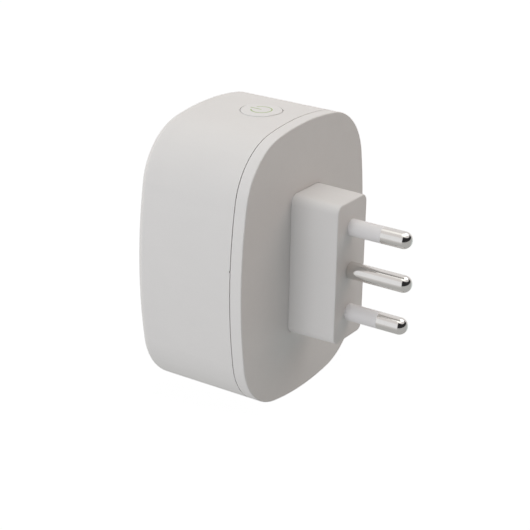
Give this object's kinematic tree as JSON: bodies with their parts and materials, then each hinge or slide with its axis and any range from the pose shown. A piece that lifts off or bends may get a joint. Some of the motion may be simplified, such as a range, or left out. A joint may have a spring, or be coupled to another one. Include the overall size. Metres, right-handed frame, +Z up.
{
  "type": "plug-in power meter",
  "caption": "Plug-in energy meter with an in-line earthed plug on its back, a shuttered appliance socket on its front and a lit power button on top.",
  "frame": {"origin": "on the earth pin's axis, where the pin leaves the plug block's end face", "axes": "+Y along the pins, into the wall socket; +Z up, with the power button on top; +X to the right when the plug side is seen from the front"},
  "size_m": [0.065, 0.0716, 0.0831],
  "materials": {
    "white_plastic": "matte, fine moulded grain",
    "grey_sleeve": "matte",
    "button_plastic": "satin",
    "symbol_light": "translucent green light guide",
    "clear_guide": "clear",
    "black_plastic": "matte",
    "shutter_plastic": "satin",
    "nickel": "bright nickel plate",
    "contact_brass": "satin",
    "tinned_copper": "satin",
    "spring_steel": "drawn wire",
    "screw_steel": "zinc plate",
    "board_green": "solder mask",
    "relay_blue": "satin",
    "iron": "zinc plate",
    "copper_winding": "enamelled wire",
    "ferrite": "fired ferrite",
    "capacitor_sleeve": "shrunk sleeve",
    "film_box": "moulded box",
    "varistor_blue": "dipped coating",
    "fuse_glass": "clear",
    "silver_cap": "plated",
    "led": "diffused"
  },
  "bodies": {
    "housing": {"front_housing": "white_plastic", "rear_cover": "white_plastic", "plug_block": "white_plastic", "socket_well": "white_plastic", "plug_flange_screws": "screw_steel", "live_pin": "nickel", "neutral_pin": "nickel", "earth_pin": "nickel", "live_pin_sleeve": "grey_sleeve", "neutral_pin_sleeve": "grey_sleeve", "contact_carrier": "black_plastic", "carrier_screws": "screw_steel", "shutter_spring": "spring_steel", "live_contact": "contact_brass", "neutral_contact": "contact_brass", "earth_contact_tube": "contact_brass", "earth_clips": "nickel", "neutral_strip": "tinned_copper", "neutral_tap": "tinned_copper", "live_inlet_strip": "tinned_copper", "live_outlet_strip": "tinned_copper", "earth_strap": "tinned_copper", "main_board": "board_green", "board_screws": "screw_steel", "relay_case": "relay_blue", "relay_base": "relay_blue", "relay_bobbin": "black_plastic", "relay_winding": "copper_winding", "relay_yoke": "iron", "relay_fixed_contact": "contact_brass", "bulk_capacitor": "capacitor_sleeve", "output_capacitor": "capacitor_sleeve", "film_capacitor": "film_box", "film_capacitor_leads": "tinned_copper", "varistor": "varistor_blue", "fuse_body": "fuse_glass", "fuse_caps": "silver_cap", "transformer_core": "ferrite", "transformer_winding": "copper_winding", "choke_core": "ferrite", "choke_winding": "copper_winding", "metering_chip": "black_plastic", "metering_chip_leads": "tinned_copper", "shunt_resistor": "tinned_copper", "bridge_rectifier": "black_plastic", "radio_board": "board_green", "radio_shield": "silver_cap", "switch_body": "black_plastic", "switch_board": "board_green", "switch_leds": "led", "board_header": "black_plastic", "header_pins": "tinned_copper", "status_light_guide": "clear_guide", "status_led": "led"},
    "button": {"button_cap": "button_plastic", "power_symbol": "symbol_light", "switch_plunger": "black_plastic"},
    "shutter": {"shutter": "shutter_plastic"},
    "relay_armature": {"relay_armature": "iron", "relay_moving_contact": "contact_brass"}
  },
  "joints": [
    {"name": "button_press", "type": "slide", "parent": "housing", "child": "button", "axis": [0, 0, -1], "range_m": [0, 0.0006], "stiffness_N_per_m": 800, "springref_m": -0.001},
    {"name": "shutter_slide", "type": "slide", "parent": "housing", "child": "shutter", "axis": [1, 0, 0], "range_m": [0, 0.0062], "stiffness_N_per_m": 120, "springref_m": -0.002, "deforming": ["shutter_spring"]},
    {"name": "relay_armature_hinge", "type": "hinge", "parent": "housing", "child": "relay_armature", "pos_m": [-0.0044, -0.037, -0.0301], "axis": [0, 0, -1], "range_deg": [0, 5], "stiffness_Nm_per_rad": 0.002, "springref_deg": -5.73}
  ]
}
